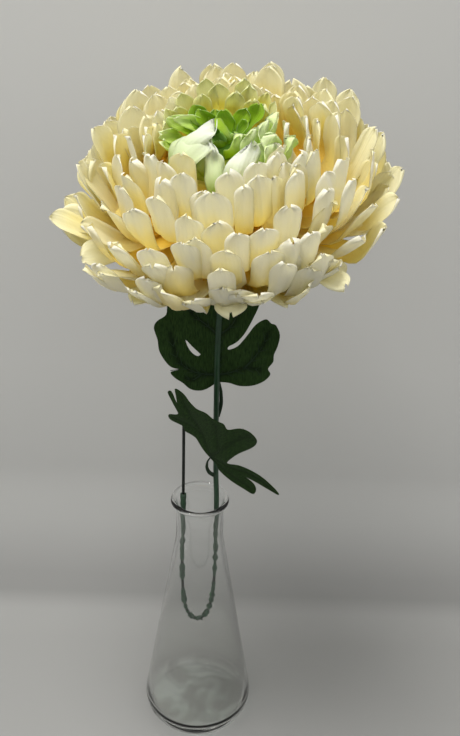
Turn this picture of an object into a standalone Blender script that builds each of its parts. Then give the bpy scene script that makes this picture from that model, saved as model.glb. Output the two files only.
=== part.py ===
"""A large cream chrysanthemum of cut fabric on a coated wire stem with two leaves.

The stem is bent into a U inside a clear conical bottle vase, and its bare wire end
comes back up out of the mouth. Metres, +Z up, origin under the middle of the vase.
"""
import math
import random

import bmesh
import bpy
from mathutils import Matrix, Vector

MM = 0.001
CLEARANCE = 0.3 * MM
# Points nearer than this are one point
WELD = 0.01 * MM
SLIVER = 0.003 * MM

# Vase
VASE_HEIGHT = 190 * MM
VASE_BASE_RADIUS = 38.5 * MM
VASE_FOOT_RADIUS = 31 * MM
VASE_HEEL_HEIGHT = 15 * MM
VASE_SHOULDER_HEIGHT = 158 * MM
VASE_NECK_RADIUS = 15.9 * MM
VASE_NECK_TOP = 184.5 * MM
VASE_LIP_RADIUS = 19.4 * MM
VASE_LIP_THICKNESS = 3.6 * MM
VASE_WALL = 1.7 * MM
VASE_FLOOR = 7 * MM
VASE_INNER_FOOT_RADIUS = 29.5 * MM
VASE_INNER_HEEL = (6.2 * MM, 8 * MM)
VASE_INNER_HEEL_TOP = 24 * MM
VASE_SHOULDER_EASE = (6 * MM, 7 * MM)
VASE_SIDES = 32

# Stem: a steel wire in a plastic coat
WIRE_RADIUS = 1.0 * MM
COAT_RADIUS = 2.0 * MM
COAT_BORE_RADIUS = WIRE_RADIUS + CLEARANCE
STEM_STEPS = 2
# Heights on the head's axis that the stem runs through, straight as far as the third
STEM_IN_HEAD = (-2.6, -15, -27, -34)

# Flower head, in its own frame: origin on its axis at the height of the lowest tips
HEAD_CENTRE = Vector((13.3, -8.0, 398.0)) * MM
HEAD_TILT = math.radians(17.5)
HEAD_LEAN = math.radians(5.5)
HEAD_UNDERSIDE = -12 * MM
CALYX_DEPTH = 14 * MM
CALYX_RADIUS = 14 * MM
CALYX_END_RADIUS = 3.6 * MM
SOCKET_TOP = -2 * MM
SOCKET_RADIUS = COAT_RADIUS + CLEARANCE + 0.05 * MM
CORE_SIDES = 24
PETAL_THICKNESS = 0.7 * MM
PETAL_COLUMNS = 2
# Rows up to the widest place, and from there round the tip
SHAFT_ROWS = 2
TIP_ROWS = 2
PETAL_ROOT_SHARE = 0.40
PETAL_WIDEST = 0.76
TIP_SWEEP = math.radians(74)
TIP_ROUNDNESS = 0.75
SPINE_START = 0.42
SPINE_END = 0.56
# How far petals of one ring differ: azimuth and rise at the tip in degrees, tip in and
# out, up and down and sideways in mm, and share of the width
WANDER_AZIMUTH = 4
WANDER_RISE = 14
WANDER_OUT = (-4, 3)
WANDER_UP = 3
WANDER_SWAY = 4
WANDER_WIDTH = (0.88, 1.08)

# Leaves
LEAF_THICKNESS = 0.8 * MM
# Blades are cut along lines this far apart before they are waved, from the first to the last
LEAF_CELL = 13 * MM
LEAF_CELLS = (-4, 8)
LEAF_RIB = 14 * MM
PETIOLE_RADIUS = 1.1 * MM
UPPER_ORIGIN = (9.9, 9.0, 274.3)
UPPER_RISE = math.radians(72)
UPPER_PETIOLE = ((10.6, 7.6, 249), (12.4, 8.0, 258), (12.2, 8.4, 267))
LOWER_ORIGIN = (6.1, -12.0, 231.4)
LOWER_MIDRIB = (0.289, -0.604, 0.743)
LOWER_ACROSS = (0.766, -0.318, -0.559)
LOWER_PETIOLE = ((8.8, 1.45, 207), (5.8, -3.0, 212.5), (4.4, -8.0, 220), (4.8, -11.2, 226.5))

# The stem's route below the head: down the outside, through the mouth, round the U
# and up to the free end
STEM_ROUTE = (
    (13.6, 5.4, 350), (10.4, 5.2, 325), (9.5, 4.7, 290), (9.6, 4.4, 240), (10.2, 4.2, 205),
    (10.9, 4.0, 187), (11.0, 3.8, 166), (11.0, 3.2, 140), (10.4, 2.6, 116), (9.0, 2.2, 100),
    (6.2, 2.0, 88.5), (2.2, 2.0, 82.4), (-2.2, 2.0, 81.2), (-6.2, 2.0, 84.6), (-9.4, 2.0, 92.5),
    (-11.4, 2.4, 109), (-12.2, 2.9, 140), (-11.4, 3.0, 168), (-11.3, 3.0, 190),
)
WIRE_END = ((-11.1, 3.0, 225), (-11.0, 3.0, 262))

# Rings of petals: count, azimuth of the first, sweep of the ring, root radius and height,
# tip radius and height, angle of rise at the root and at the tip, width, cup (half angle
# of the scoop)
CREAM_RINGS = (
    (12, -94, 360, 31, -6, 90, 4, -14, 46, 22, 0.80),
    (12, -80, 360, 31, -3, 93, 15, -14, 84, 22, 0.85),
    (12, -95, 360, 33, 0, 88, 25, -13, 94, 22, 0.85),
    (12, -80, 360, 33, 3, 83, 34, -10, 99, 22, 0.85),
    (12, -94, 360, 33, 8, 76, 43, -7, 101, 22, 0.80),
    (11, -79, 360, 33, 14, 68, 51, -1, 102, 22, 0.80),
    (10, -94, 360, 32, 21, 58, 57, 8, 101, 21, 0.75),
    (8, -76, 360, 29, 28, 48, 61, 24, 98, 19, 0.70),
)
# The yellow-green petals stand round the far side only
LIME_RINGS = (
    (7, 10, 189, 18.5, 31, 31, 57, 56, 94, 14, 0.60),
    (5, 26, 162, 20, 31, 33, 59, 58, 92, 12, 0.60),
)
HEART_RINGS = (
    (7, 12, 360, 8, 39.5, 18, 55, 50, 96, 9, 0.60),
    (3, 60, 360, 5, 42, 11, 53, 66, 96, 8, 0.55),
)
# The pale petals that fold up over the near side of the green middle: azimuth, the two
# middle control points and the tip of the spine as (radius, height), width
FOLD_ROOT = (8, 40)
HEART_FOLDS = (
    (-140, (26, 38), (31, 52), (12, 60), 17),
    (-118, (22, 39), (24, 46), (14, 53), 12),
    (-95, (29, 38), (31, 44), (19, 51), 13),
    (-62, (26, 38), (30, 48), (17, 54), 20),
    (-32, (24, 39), (28, 46), (18, 51), 15),
)
FOLD_CUP = 0.9
# Walls of air between the three groups of petals: radius at a height, and its growth
CREAM_LIME_WALL = (25.0 * MM, 33 * MM, 0.48)
LIME_HEART_WALL = (12.2 * MM, 37 * MM, 0.42)
WALL_MARGIN = 0.8 * MM

for old in list(bpy.data.objects):
    bpy.data.objects.remove(old, do_unlink=True)

parts = bpy.data.collections.new("chrysanthemum")
bpy.context.scene.collection.children.link(parts)


def material(name, colour, roughness, metallic=0.0):
    mat = bpy.data.materials.new(name)
    mat.use_nodes = True
    shader = mat.node_tree.nodes["Principled BSDF"]
    shader.inputs["Base Color"].default_value = (*colour, 1.0)
    shader.inputs["Roughness"].default_value = roughness
    shader.inputs["Metallic"].default_value = metallic
    return mat


def add_object(name, mesh, mat, collection=parts):
    mesh.materials.clear()
    mesh.materials.append(mat)
    ob = bpy.data.objects.new(name, mesh)
    collection.objects.link(ob)
    return ob


def evaluated_mesh(ob):
    bpy.context.view_layer.update()
    graph = bpy.context.evaluated_depsgraph_get()
    return bpy.data.meshes.new_from_object(ob.evaluated_get(graph), depsgraph=graph)


def turned(name, profile, sides, mat, collection=parts):
    """A closed body turned about Z from a profile of (radius, height) points.

    A profile that starts on the axis ends on it too. Any other is a loop, for a ring.
    """
    mesh = bpy.data.meshes.new(name)
    bm = bmesh.new()
    points = [bm.verts.new((radius, 0, height)) for radius, height in profile]
    followers = points[1:] if profile[0][0] == 0 else points[1:] + points[:1]
    for first, second in zip(points, followers):
        bm.edges.new((first, second))
    bm.to_mesh(mesh)
    bm.free()
    ob = add_object(name, mesh, mat, collection)
    screw = ob.modifiers.new("Turn", "SCREW")
    screw.steps = sides
    screw.render_steps = sides
    screw.use_merge_vertices = True
    screw.merge_threshold = WELD
    return ob


def arc(centre, radii, start, end, steps):
    """Points of (radius, height) on an elliptical arc, angles in degrees."""
    points = []
    for i in range(steps + 1):
        angle = math.radians(start + (end - start) * i / steps)
        points.append((centre[0] + radii[0] * math.cos(angle), centre[1] + radii[1] * math.sin(angle)))
    return points


def smooth_route(points, steps):
    """Points on a Catmull-Rom curve through the given points."""
    ends = [2 * points[0] - points[1]] + list(points) + [2 * points[-1] - points[-2]]
    route = []
    for a, b, c, d in zip(ends, ends[1:], ends[2:], ends[3:]):
        for i in range(steps):
            t = i / steps
            route.append(0.5 * (2 * b + (c - a) * t + (2 * a - 5 * b + 4 * c - d) * t ** 2
                                + (3 * b - a - 3 * c + d) * t ** 3))
    return route + [points[-1]]


def tube(name, route, radius, mat, collection=parts):
    """A round rod along a route, as a closed mesh."""
    curve = bpy.data.curves.new(name, "CURVE")
    curve.dimensions = "3D"
    curve.bevel_depth = radius
    curve.bevel_resolution = 2
    curve.use_fill_caps = True
    spline = curve.splines.new("POLY")
    spline.points.add(len(route) - 1)
    for point, place in zip(spline.points, route):
        point.co = (*place, 1)
    guide = bpy.data.objects.new(name + "_route", curve)
    collection.objects.link(guide)
    mesh = evaluated_mesh(guide)
    bpy.data.objects.remove(guide, do_unlink=True)
    bm = bmesh.new()
    bm.from_mesh(mesh)
    bmesh.ops.remove_doubles(bm, verts=bm.verts, dist=WELD)
    bmesh.ops.recalc_face_normals(bm, faces=bm.faces)
    bm.to_mesh(mesh)
    bm.free()
    return add_object(name, mesh, mat, collection)


def fill_and_trim(mesh):
    """Keeps the largest closed skin: fills hollows sealed inside and drops loose scraps."""
    bm = bmesh.new()
    bm.from_mesh(mesh)
    waiting = set(bm.verts)
    skins = []
    while waiting:
        start = waiting.pop()
        skin = {start}
        edge_of_skin = [start]
        while edge_of_skin:
            for edge in edge_of_skin.pop().link_edges:
                for vert in edge.verts:
                    if vert in waiting:
                        waiting.discard(vert)
                        skin.add(vert)
                        edge_of_skin.append(vert)
        skins.append(skin)
    skins.sort(key=len)
    for skin in skins[:-1]:
        bmesh.ops.delete(bm, geom=list(skin), context="VERTS")
    bmesh.ops.dissolve_degenerate(bm, dist=SLIVER, edges=bm.edges)
    bare = [edge for edge in bm.edges if not edge.link_faces]
    bmesh.ops.delete(bm, geom=bare, context="EDGES")
    bm.to_mesh(mesh)
    bm.free()


def join(body, collection):
    """Fuses everything in a collection into the body and removes the loose pieces."""
    union = body.modifiers.new("Join", "BOOLEAN")
    union.operation = "UNION"
    union.operand_type = "COLLECTION"
    union.collection = collection
    union.solver = "MANIFOLD"
    mesh = evaluated_mesh(body)
    fill_and_trim(mesh)
    body.modifiers.clear()
    body.data = mesh
    for piece in list(collection.objects):
        bpy.data.objects.remove(piece, do_unlink=True)
    bpy.data.collections.remove(collection)


def loose_collection(name):
    collection = bpy.data.collections.new(name)
    bpy.context.scene.collection.children.link(collection)
    return collection


glass = material("clear_glass", (0.85, 0.88, 0.87), 0.05)
steel = material("dark_wire", (0.05, 0.05, 0.05), 0.45, 0.8)
plastic = material("green_plastic", (0.02, 0.09, 0.04), 0.5)
leaf_cloth = material("leaf_cloth", (0.02, 0.05, 0.015), 0.7)
cream_cloth = material("cream_cloth", (0.85, 0.78, 0.52), 0.8)
lime_cloth = material("lime_cloth", (0.62, 0.66, 0.28), 0.8)
green_cloth = material("green_cloth", (0.30, 0.55, 0.12), 0.8)


# Vase: one turned wall with a rounded lip, a straight neck, a cone, a soft heel and a thick floor
def cone_radius(height):
    share = (height - VASE_HEEL_HEIGHT) / (VASE_SHOULDER_HEIGHT - VASE_HEEL_HEIGHT)
    return VASE_BASE_RADIUS + (VASE_NECK_RADIUS - VASE_BASE_RADIUS) * share


lip_half = VASE_LIP_THICKNESS / 2
neck_foot = VASE_SHOULDER_HEIGHT + VASE_SHOULDER_EASE[0]
cone_top = VASE_SHOULDER_HEIGHT - VASE_SHOULDER_EASE[1]
inner_neck = VASE_NECK_RADIUS - VASE_WALL
inside = [(0, VASE_FLOOR), (VASE_INNER_FOOT_RADIUS, VASE_FLOOR)]
inside += arc((VASE_INNER_FOOT_RADIUS, VASE_FLOOR + VASE_INNER_HEEL[1]), VASE_INNER_HEEL, -60, 0, 3)
inside += [(cone_radius(h) - VASE_WALL, h) for h in (VASE_INNER_HEEL_TOP, cone_top)]
inside += [(inner_neck, neck_foot), (inner_neck, VASE_NECK_TOP)]
lip = arc((VASE_LIP_RADIUS - lip_half, VASE_HEIGHT - lip_half), (lip_half, lip_half), 180, -60, 8)
outside = [(VASE_NECK_RADIUS, VASE_NECK_TOP), (VASE_NECK_RADIUS, neck_foot)]
outside += [(cone_radius(cone_top), cone_top)]
heel_radii = (VASE_BASE_RADIUS - VASE_FOOT_RADIUS, VASE_HEEL_HEIGHT)
outside += arc((VASE_FOOT_RADIUS, VASE_HEEL_HEIGHT), heel_radii, 0, -90, 6)
turned("vase", inside + lip + outside + [(0, 0)], VASE_SIDES, glass)

# Head frame
head = bpy.data.objects.new("head_frame", None)
parts.objects.link(head)
head.rotation_mode = "YXZ"
head.location = HEAD_CENTRE
head.rotation_euler = (HEAD_TILT, -HEAD_LEAN, 0)
bpy.context.view_layer.update()
head_matrix = head.matrix_world.copy()

# Stem: the wire runs the whole way, the coat stops short of the free end
in_head = [head_matrix @ Vector((0, 0, height * MM)) for height in STEM_IN_HEAD]
coat_points = in_head + [Vector(point) * MM for point in STEM_ROUTE]
wire_points = coat_points + [Vector(point) * MM for point in WIRE_END]
coat_route = smooth_route(coat_points, STEM_STEPS)
wire_route = smooth_route(wire_points, STEM_STEPS)
tube("stem_wire", wire_route, WIRE_RADIUS, steel)
coat = tube("stem_coat", coat_route, COAT_RADIUS, plastic)
cutters = loose_collection("cutters")
first_step = (wire_route[0] - wire_route[1]).normalized() * 2 * MM
bore_end = len(coat_route) + 1
bore_route = [wire_route[0] + first_step] + wire_route[:bore_end]
bore = tube("coat_bore", bore_route, COAT_BORE_RADIUS, plastic, cutters)
bore.hide_render = True
bore.display_type = "WIRE"
drill = coat.modifiers.new("Bore", "BOOLEAN")
drill.operation = "DIFFERENCE"
drill.object = bore
bored = evaluated_mesh(coat)
fill_and_trim(bored)
coat.modifiers.clear()
coat.data = bored
bpy.data.objects.remove(bore, do_unlink=True)
bpy.data.collections.remove(cutters)


# Petals: a grid bent along a rising curve, scooped across, thickened to cloth
def bezier(points, t):
    u = 1 - t
    a, b, c, d = points
    return a * u ** 3 + 3 * b * u ** 2 * t + 3 * c * u * t ** 2 + d * t ** 3


def bezier_slope(points, t):
    u = 1 - t
    a, b, c, d = points
    return ((b - a) * u ** 2 + 2 * (c - b) * u * t + (d - c) * t ** 2).normalized()


def row_place(row):
    """How far along the petal a row lies, and its share of the full half width."""
    if row <= SHAFT_ROWS:
        t = row / SHAFT_ROWS
        return PETAL_WIDEST * t, PETAL_ROOT_SHARE + (1 - PETAL_ROOT_SHARE) * (3 * t ** 2 - 2 * t ** 3)
    sweep = TIP_SWEEP * (row - SHAFT_ROWS) / TIP_ROWS
    along = PETAL_WIDEST + (1 - PETAL_WIDEST) * math.sin(sweep) / math.sin(TIP_SWEEP)
    return along, math.cos(sweep) ** TIP_ROUNDNESS


def keep_clear(place, wall, side):
    """Holds a point outside (side 1) or inside (side -1) a flaring wall of air."""
    radius = math.hypot(place.x, place.y)
    limit = wall[0] + max(0, place.z - wall[1]) * wall[2] + side * WALL_MARGIN
    if (radius - limit) * side < 0:
        place.x *= limit / radius
        place.y *= limit / radius
    return place


def petal(name, spine, azimuth, width, cup, sway, mat, collection, walls):
    bm = bmesh.new()
    rows = SHAFT_ROWS + TIP_ROWS
    bmesh.ops.create_grid(bm, x_segments=PETAL_COLUMNS, y_segments=rows, size=1)
    outward = Vector((math.cos(azimuth), math.sin(azimuth), 0))
    across_way = Vector((-math.sin(azimuth), math.cos(azimuth), 0))
    for vert in bm.verts:
        across = vert.co.x
        along, share = row_place(round((vert.co.y + 1) / 2 * rows))
        centre = bezier(spine, along)
        slope = bezier_slope(spine, along)
        half = share * width / 2
        bend = cup * across
        sideways = half * math.sin(bend) / math.sin(cup) + sway * along ** 2
        inward = half * (1 - math.cos(bend)) / math.sin(cup)
        place = outward * (centre.x - slope.y * inward) + across_way * sideways
        place.z = centre.y + slope.x * inward
        for wall, side in walls:
            if place.z > wall[1]:
                place = keep_clear(place, wall, side)
        vert.co = place
    bmesh.ops.triangulate(bm, faces=bm.faces)
    bmesh.ops.recalc_face_normals(bm, faces=bm.faces)
    mesh = bpy.data.meshes.new(name)
    bm.to_mesh(mesh)
    bm.free()
    ob = add_object(name, mesh, mat, collection)
    cloth = ob.modifiers.new("Cloth", "SOLIDIFY")
    cloth.thickness = PETAL_THICKNESS
    cloth.offset = 0


def spine_points(root, tip, rise_root, rise_tip):
    """Control points in the (radius, height) plane of a petal's middle line."""
    reach = (tip - root).length
    start = Vector((math.cos(rise_root), math.sin(rise_root))) * reach * SPINE_START
    end = Vector((math.cos(rise_tip), math.sin(rise_tip))) * reach * SPINE_END
    return (root, root + start, tip - end, tip)


def ring_of_petals(ring, name, mat, collection, walls, draw, loose):
    """loose: how far tips wander, as a share of the cream petals' wandering."""
    count, first, sweep, root_r, root_h, tip_r, tip_h, rise_root, rise_tip, width, cup = ring
    for i in range(count):
        wander = draw.uniform(-WANDER_AZIMUTH, WANDER_AZIMUTH) * loose
        azimuth = math.radians(first + sweep * i / count + wander)
        out = tip_r + draw.uniform(*WANDER_OUT) * loose
        up = tip_h + draw.uniform(-WANDER_UP, WANDER_UP) * loose
        rise_end = math.radians(rise_tip + draw.uniform(-WANDER_RISE, WANDER_RISE) * loose)
        root = Vector((root_r, root_h)) * MM
        spine = spine_points(root, Vector((out, up)) * MM, math.radians(rise_root), rise_end)
        petal_width = width * draw.uniform(*WANDER_WIDTH) * MM
        sway = draw.uniform(-WANDER_SWAY, WANDER_SWAY) * loose * MM
        petal(f"{name}_{i}", spine, azimuth, petal_width, cup, sway, mat, collection, walls)


def core(name, profile, mat):
    return turned(name, [(radius * MM, height * MM) for radius, height in profile], CORE_SIDES, mat)


draw = random.Random(7)

# Cream petals on a core that is open above for the paler middle
socket = SOCKET_RADIUS / MM
cream_core = (
    (0, 27), (24.4, 27), (24.4, 33), (31, 33), (40, 25), (45, 13), (44, 3), (34, -7), (14, -12),
    (socket, HEAD_UNDERSIDE / MM), (socket, SOCKET_TOP / MM), (0, SOCKET_TOP / MM),
)
bloom = core("bloom_cream", cream_core, cream_cloth)
loose = loose_collection("cream_petals")
for number, ring in enumerate(CREAM_RINGS):
    ring_of_petals(ring, f"cream_{number}", cream_cloth, loose, ((CREAM_LIME_WALL, 1),), draw, 1)
join(bloom, loose)
bloom.parent = head

# Yellow-green petals on a disc that sits in the cream core
lime_core = ((0, 36.6), (12, 36.6), (20, 36.2), (24, 33), (24, 27.3), (0, 27.3))
bloom = core("bloom_lime", lime_core, lime_cloth)
loose = loose_collection("lime_petals")
for number, ring in enumerate(LIME_RINGS):
    walls = ((CREAM_LIME_WALL, -1), (LIME_HEART_WALL, 1))
    ring_of_petals(ring, f"lime_{number}", lime_cloth, loose, walls, draw, 0.6)
join(bloom, loose)
bloom.parent = head

# Green petals and pale folds on a small button on that disc
heart_core = ((0, 44.5), (7, 43.5), (11, 40), (11, 36.9), (0, 36.9))
bloom = core("bloom_heart", heart_core, green_cloth)
loose = loose_collection("heart_petals")
for number, ring in enumerate(HEART_RINGS):
    ring_of_petals(ring, f"heart_{number}", green_cloth, loose, ((LIME_HEART_WALL, -1),), draw, 0.4)
for number, (azimuth, low, high, tip, width) in enumerate(HEART_FOLDS):
    spine = [Vector(point) * MM for point in (FOLD_ROOT, low, high, tip)]
    petal(f"heart_fold_{number}", spine, math.radians(azimuth), width * MM, FOLD_CUP, 0, green_cloth, loose,
          ((CREAM_LIME_WALL, -1),))
join(bloom, loose)
bloom.parent = head

# Calyx: a plastic cup that the stem passes through, under the core
calyx_top = HEAD_UNDERSIDE - CLEARANCE
calyx_end = HEAD_UNDERSIDE - CALYX_DEPTH
calyx_profile = (
    (SOCKET_RADIUS, calyx_top), (CALYX_RADIUS, calyx_top),
    (CALYX_RADIUS - 2 * MM, HEAD_UNDERSIDE - 4 * MM), (CALYX_RADIUS / 2, HEAD_UNDERSIDE - 8 * MM),
    (CALYX_END_RADIUS + 0.4 * MM, calyx_end + 3 * MM), (CALYX_END_RADIUS, calyx_end),
    (SOCKET_RADIUS, calyx_end),
)
turned("calyx", calyx_profile, CORE_SIDES, plastic).parent = head

# Leaves: both cut to one lobed pattern, drawn in the blade's own plane from the petiole's
# end (0, 0), with the midrib up the second axis
UPPER_OUTLINE = (
    (0, -0.5), (7, -0.8), (14, -2.6), (22, -2), (29, 1), (33, 5.5), (31.5, 9),
    (34.5, 13.5), (34.8, 18), (37, 24), (38, 31), (35.5, 36.8), (32.5, 38), (29, 40.6), (23, 37),
    (17.5, 29.5), (12, 23), (6.5, 20.6), (6.3, 22.4), (11.5, 25.6), (16.5, 31.5), (21.5, 41.5),
    (25, 51), (24, 59), (19, 61), (15.5, 58), (14, 66), (8, 74), (1, 77), (-7, 73), (-12, 65),
    (-14, 58), (-20, 60),
    (-27, 56), (-32, 49), (-33, 41.5), (-38.5, 37.5), (-40.3, 33), (-38, 26), (-36.8, 19),
    (-33, 12.5), (-29, 8.6), (-24, 7), (-29.5, 5.5), (-27, 1.8), (-22, -1.5), (-17, -5.4),
    (-11, -6.2), (-6, -4.6),
)
UPPER_SLOT = ((-11, 16.8), (-16, 21.4), (-20.5, 26), (-19, 21.5), (-16.2, 17.6), (-12.8, 15.6))
LOWER_OUTLINE = (
    (0, -0.8), (6.5, -2), (11, -6.4), (18, -5.6), (29, -1.4), (36, 1.6), (36, 7.5), (33, 12), (28.5, 13),
    (23.5, 11.6), (33, 18), (39, 23), (46, 29.6), (38, 31), (31.5, 30.4), (24, 26.6), (16, 21.6), (10.5, 14),
    (10.4, 31), (13, 48), (13.6, 59), (11.5, 66), (6, 67.5), (0.5, 62), (-4, 50.4), (-8.3, 54), (-14, 50.4),
    (-20, 49.8), (-26, 43.5), (-32, 42.6), (-37.5, 44.2), (-43.5, 42.6), (-37, 31), (-45.5, 33.6), (-40, 29),
    (-33.5, 23.5), (-32.7, 19), (-36.6, 10.5), (-34, 5.6), (-28, 8.2), (-25, 9), (-22, 5.6), (-18, 6.8),
    (-14, 7.4), (-9, 4.4), (-3.4, 1.4),
)


def blade(name, outlines, wave):
    """A thin lobed sheet, closed, in its own plane and waved a little out of it."""
    curve = bpy.data.curves.new(name, "CURVE")
    curve.dimensions = "2D"
    curve.fill_mode = "BOTH"
    for outline in outlines:
        spline = curve.splines.new("POLY")
        spline.use_cyclic_u = True
        spline.points.add(len(outline) - 1)
        for point, (right, up) in zip(spline.points, outline):
            point.co = (right * MM, up * MM, 0, 1)
    guide = bpy.data.objects.new(name + "_pattern", curve)
    parts.objects.link(guide)
    mesh = evaluated_mesh(guide)
    bpy.data.objects.remove(guide, do_unlink=True)
    bm = bmesh.new()
    bm.from_mesh(mesh)
    bmesh.ops.remove_doubles(bm, verts=bm.verts, dist=WELD)
    for axis in (Vector((1, 0, 0)), Vector((0, 1, 0))):
        for step in range(*LEAF_CELLS):
            geometry = bm.verts[:] + bm.edges[:] + bm.faces[:]
            bmesh.ops.bisect_plane(bm, geom=geometry, dist=WELD, plane_co=axis * LEAF_CELL * step,
                                   plane_no=axis)
    bmesh.ops.triangulate(bm, faces=bm.faces)
    for vert in bm.verts:
        vert.co.z = wave(vert.co.x / MM, vert.co.y / MM) * MM
    bm.to_mesh(mesh)
    bm.free()
    ob = add_object(name, mesh, leaf_cloth)
    sheet = ob.modifiers.new("Sheet", "SOLIDIFY")
    sheet.thickness = LEAF_THICKNESS
    sheet.offset = 0
    return ob


def stand(ob, origin, right, up):
    """Stands a blade in the world: its own X along right, its own Y along up."""
    ob.matrix_world = Matrix((
        (right.x, up.x, right.cross(up).x, origin.x),
        (right.y, up.y, right.cross(up).y, origin.y),
        (right.z, up.z, right.cross(up).z, origin.z),
        (0, 0, 0, 1),
    ))
    bpy.context.view_layer.update()


def leaf(name, outlines, wave, origin, right, up, petiole):
    """A blade fused to its petiole, which runs on along the back as a short rib."""
    ob = blade(name, outlines, wave)
    stand(ob, origin, right, up)
    rib = [origin + up * LEAF_RIB * share for share in (0, 0.5, 1)]
    loose = loose_collection(name + "_petiole")
    tube(name + "_petiole_rod", smooth_route([Vector(point) * MM for point in petiole] + rib, 3),
         PETIOLE_RADIUS, leaf_cloth, loose)
    join(ob, loose)


def upper_wave(right, up):
    return 0.0016 * right ** 2 + 1.2 * math.sin(right * 0.16) * math.sin(up * 0.10)


def lower_wave(right, up):
    return 1.3 * math.sin(right * 0.14 + 0.6) * math.sin(up * 0.09)


upper_up = Vector((0, math.cos(UPPER_RISE), math.sin(UPPER_RISE)))
leaf("leaf_upper", (UPPER_OUTLINE, UPPER_SLOT), upper_wave, Vector(UPPER_ORIGIN) * MM, Vector((1, 0, 0)),
     upper_up, UPPER_PETIOLE)
lower_up = Vector(LOWER_MIDRIB).normalized()
lower_right = Vector(LOWER_ACROSS)
lower_right = (lower_right - lower_up * lower_right.dot(lower_up)).normalized()
leaf("leaf_lower", (LOWER_OUTLINE,), lower_wave, Vector(LOWER_ORIGIN) * MM, lower_right, lower_up,
     LOWER_PETIOLE)
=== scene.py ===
import math
import random

import bmesh
import bpy
from mathutils import Matrix, Vector, noise


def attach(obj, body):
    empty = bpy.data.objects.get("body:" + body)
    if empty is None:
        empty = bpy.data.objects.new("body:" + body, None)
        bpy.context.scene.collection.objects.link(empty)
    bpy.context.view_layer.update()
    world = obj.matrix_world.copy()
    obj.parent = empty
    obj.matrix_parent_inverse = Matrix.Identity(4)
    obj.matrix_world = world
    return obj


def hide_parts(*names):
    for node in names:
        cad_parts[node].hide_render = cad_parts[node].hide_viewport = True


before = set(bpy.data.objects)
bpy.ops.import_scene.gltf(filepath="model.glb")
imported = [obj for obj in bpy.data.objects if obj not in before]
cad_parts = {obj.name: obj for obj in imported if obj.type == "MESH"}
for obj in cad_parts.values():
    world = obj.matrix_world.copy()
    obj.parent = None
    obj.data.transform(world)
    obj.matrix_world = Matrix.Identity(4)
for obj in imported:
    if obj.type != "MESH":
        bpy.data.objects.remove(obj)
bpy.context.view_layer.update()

MM = 0.001

# Camera: it stands a little above the flower and looks down at it, from as far as the
# photograph was taken, with the vase's foot just inside the frame.
FRAME_HEIGHT = 736
FOCAL_PIXELS = 1000
SENSOR = 36
CAMERA_PLACE = (0.0175, -0.535, 0.593)
CAMERA_DOWN = math.radians(29.6)
CAMERA_ROLL = math.radians(1.6)

camera_data = bpy.data.cameras.new("camera")
camera_data.sensor_width = SENSOR
camera_data.lens = FOCAL_PIXELS / FRAME_HEIGHT * SENSOR
camera_data.clip_start = 0.02
camera = bpy.data.objects.new("camera", camera_data)
bpy.context.scene.collection.objects.link(camera)
camera.matrix_world = (Matrix.Translation(CAMERA_PLACE)
                       @ Matrix.Rotation(math.pi / 2 - CAMERA_DOWN, 4, "X")
                       @ Matrix.Rotation(CAMERA_ROLL, 4, "Z"))
bpy.context.scene.camera = camera
bpy.context.scene.view_settings.view_transform = "Standard"


# Stage: a sheet of pale grey paper that lies on the table and curves up behind the vase.
# It is painted lighter towards its top and darkest where it begins to curve: painted
# shade and light, in place of uneven light on it. A camera that faces its back sees
# through it, so views from behind and below show the flower.
PAPER_HALF_WIDTH = 1.6
PAPER_FRONT = -1.4
PAPER_FOLD = 0.16
PAPER_TOP = 1.6
PAPER_BEND = 0.10
PAPER_DROP = 0.3 * MM
# Painted shade and light: greys of the paper by height, darkest at the bend
PAPER_SHADE_TOP = 0.20
PAPER_PAINTED_SHADES = ((0, 0.28), (0.02, 0.275), (0.05, 0.21), (0.09, 0.22),
                (0.16, 0.262), (0.26, 0.325), (0.5, 0.46), (1, 0.50))
PAPER_BLUE = 0.972


def new_material(name, roughness=0.5, metallic=0.0, specular=0.5):
    """A material with its Principled shader, whose colour is set by the caller."""
    mat = bpy.data.materials.new(name)
    mat.use_nodes = True
    shader = mat.node_tree.nodes["Principled BSDF"]
    shader.inputs["Roughness"].default_value = roughness
    shader.inputs["Metallic"].default_value = metallic
    shader.inputs["Specular IOR Level"].default_value = specular
    return mat, mat.node_tree, shader


def new_piece(name, bm, *materials):
    """An object at the origin from a finished bmesh, shaded smooth."""
    mesh = bpy.data.meshes.new(name)
    for face in bm.faces:
        face.smooth = True
    bm.to_mesh(mesh)
    bm.free()
    for mat in materials:
        mesh.materials.append(mat)
    piece = bpy.data.objects.new(name, mesh)
    bpy.context.scene.collection.objects.link(piece)
    return piece


def share_node(tree, value, low, high):
    """How far a value has come from low to high, from 0 to 1."""
    node = tree.nodes.new("ShaderNodeMapRange")
    node.inputs["From Min"].default_value = low
    node.inputs["From Max"].default_value = high
    tree.links.new(value, node.inputs["Value"])
    return node.outputs["Result"]


def mix_shaders(tree, first, second):
    """Makes the surface a mix of two shaders, and returns the socket of its share."""
    node = tree.nodes.new("ShaderNodeMixShader")
    tree.links.new(first.outputs["BSDF"], node.inputs[1])
    tree.links.new(second.outputs["BSDF"], node.inputs[2])
    tree.links.new(node.outputs["Shader"], tree.nodes["Material Output"].inputs["Surface"])
    return node.inputs["Fac"]


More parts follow.
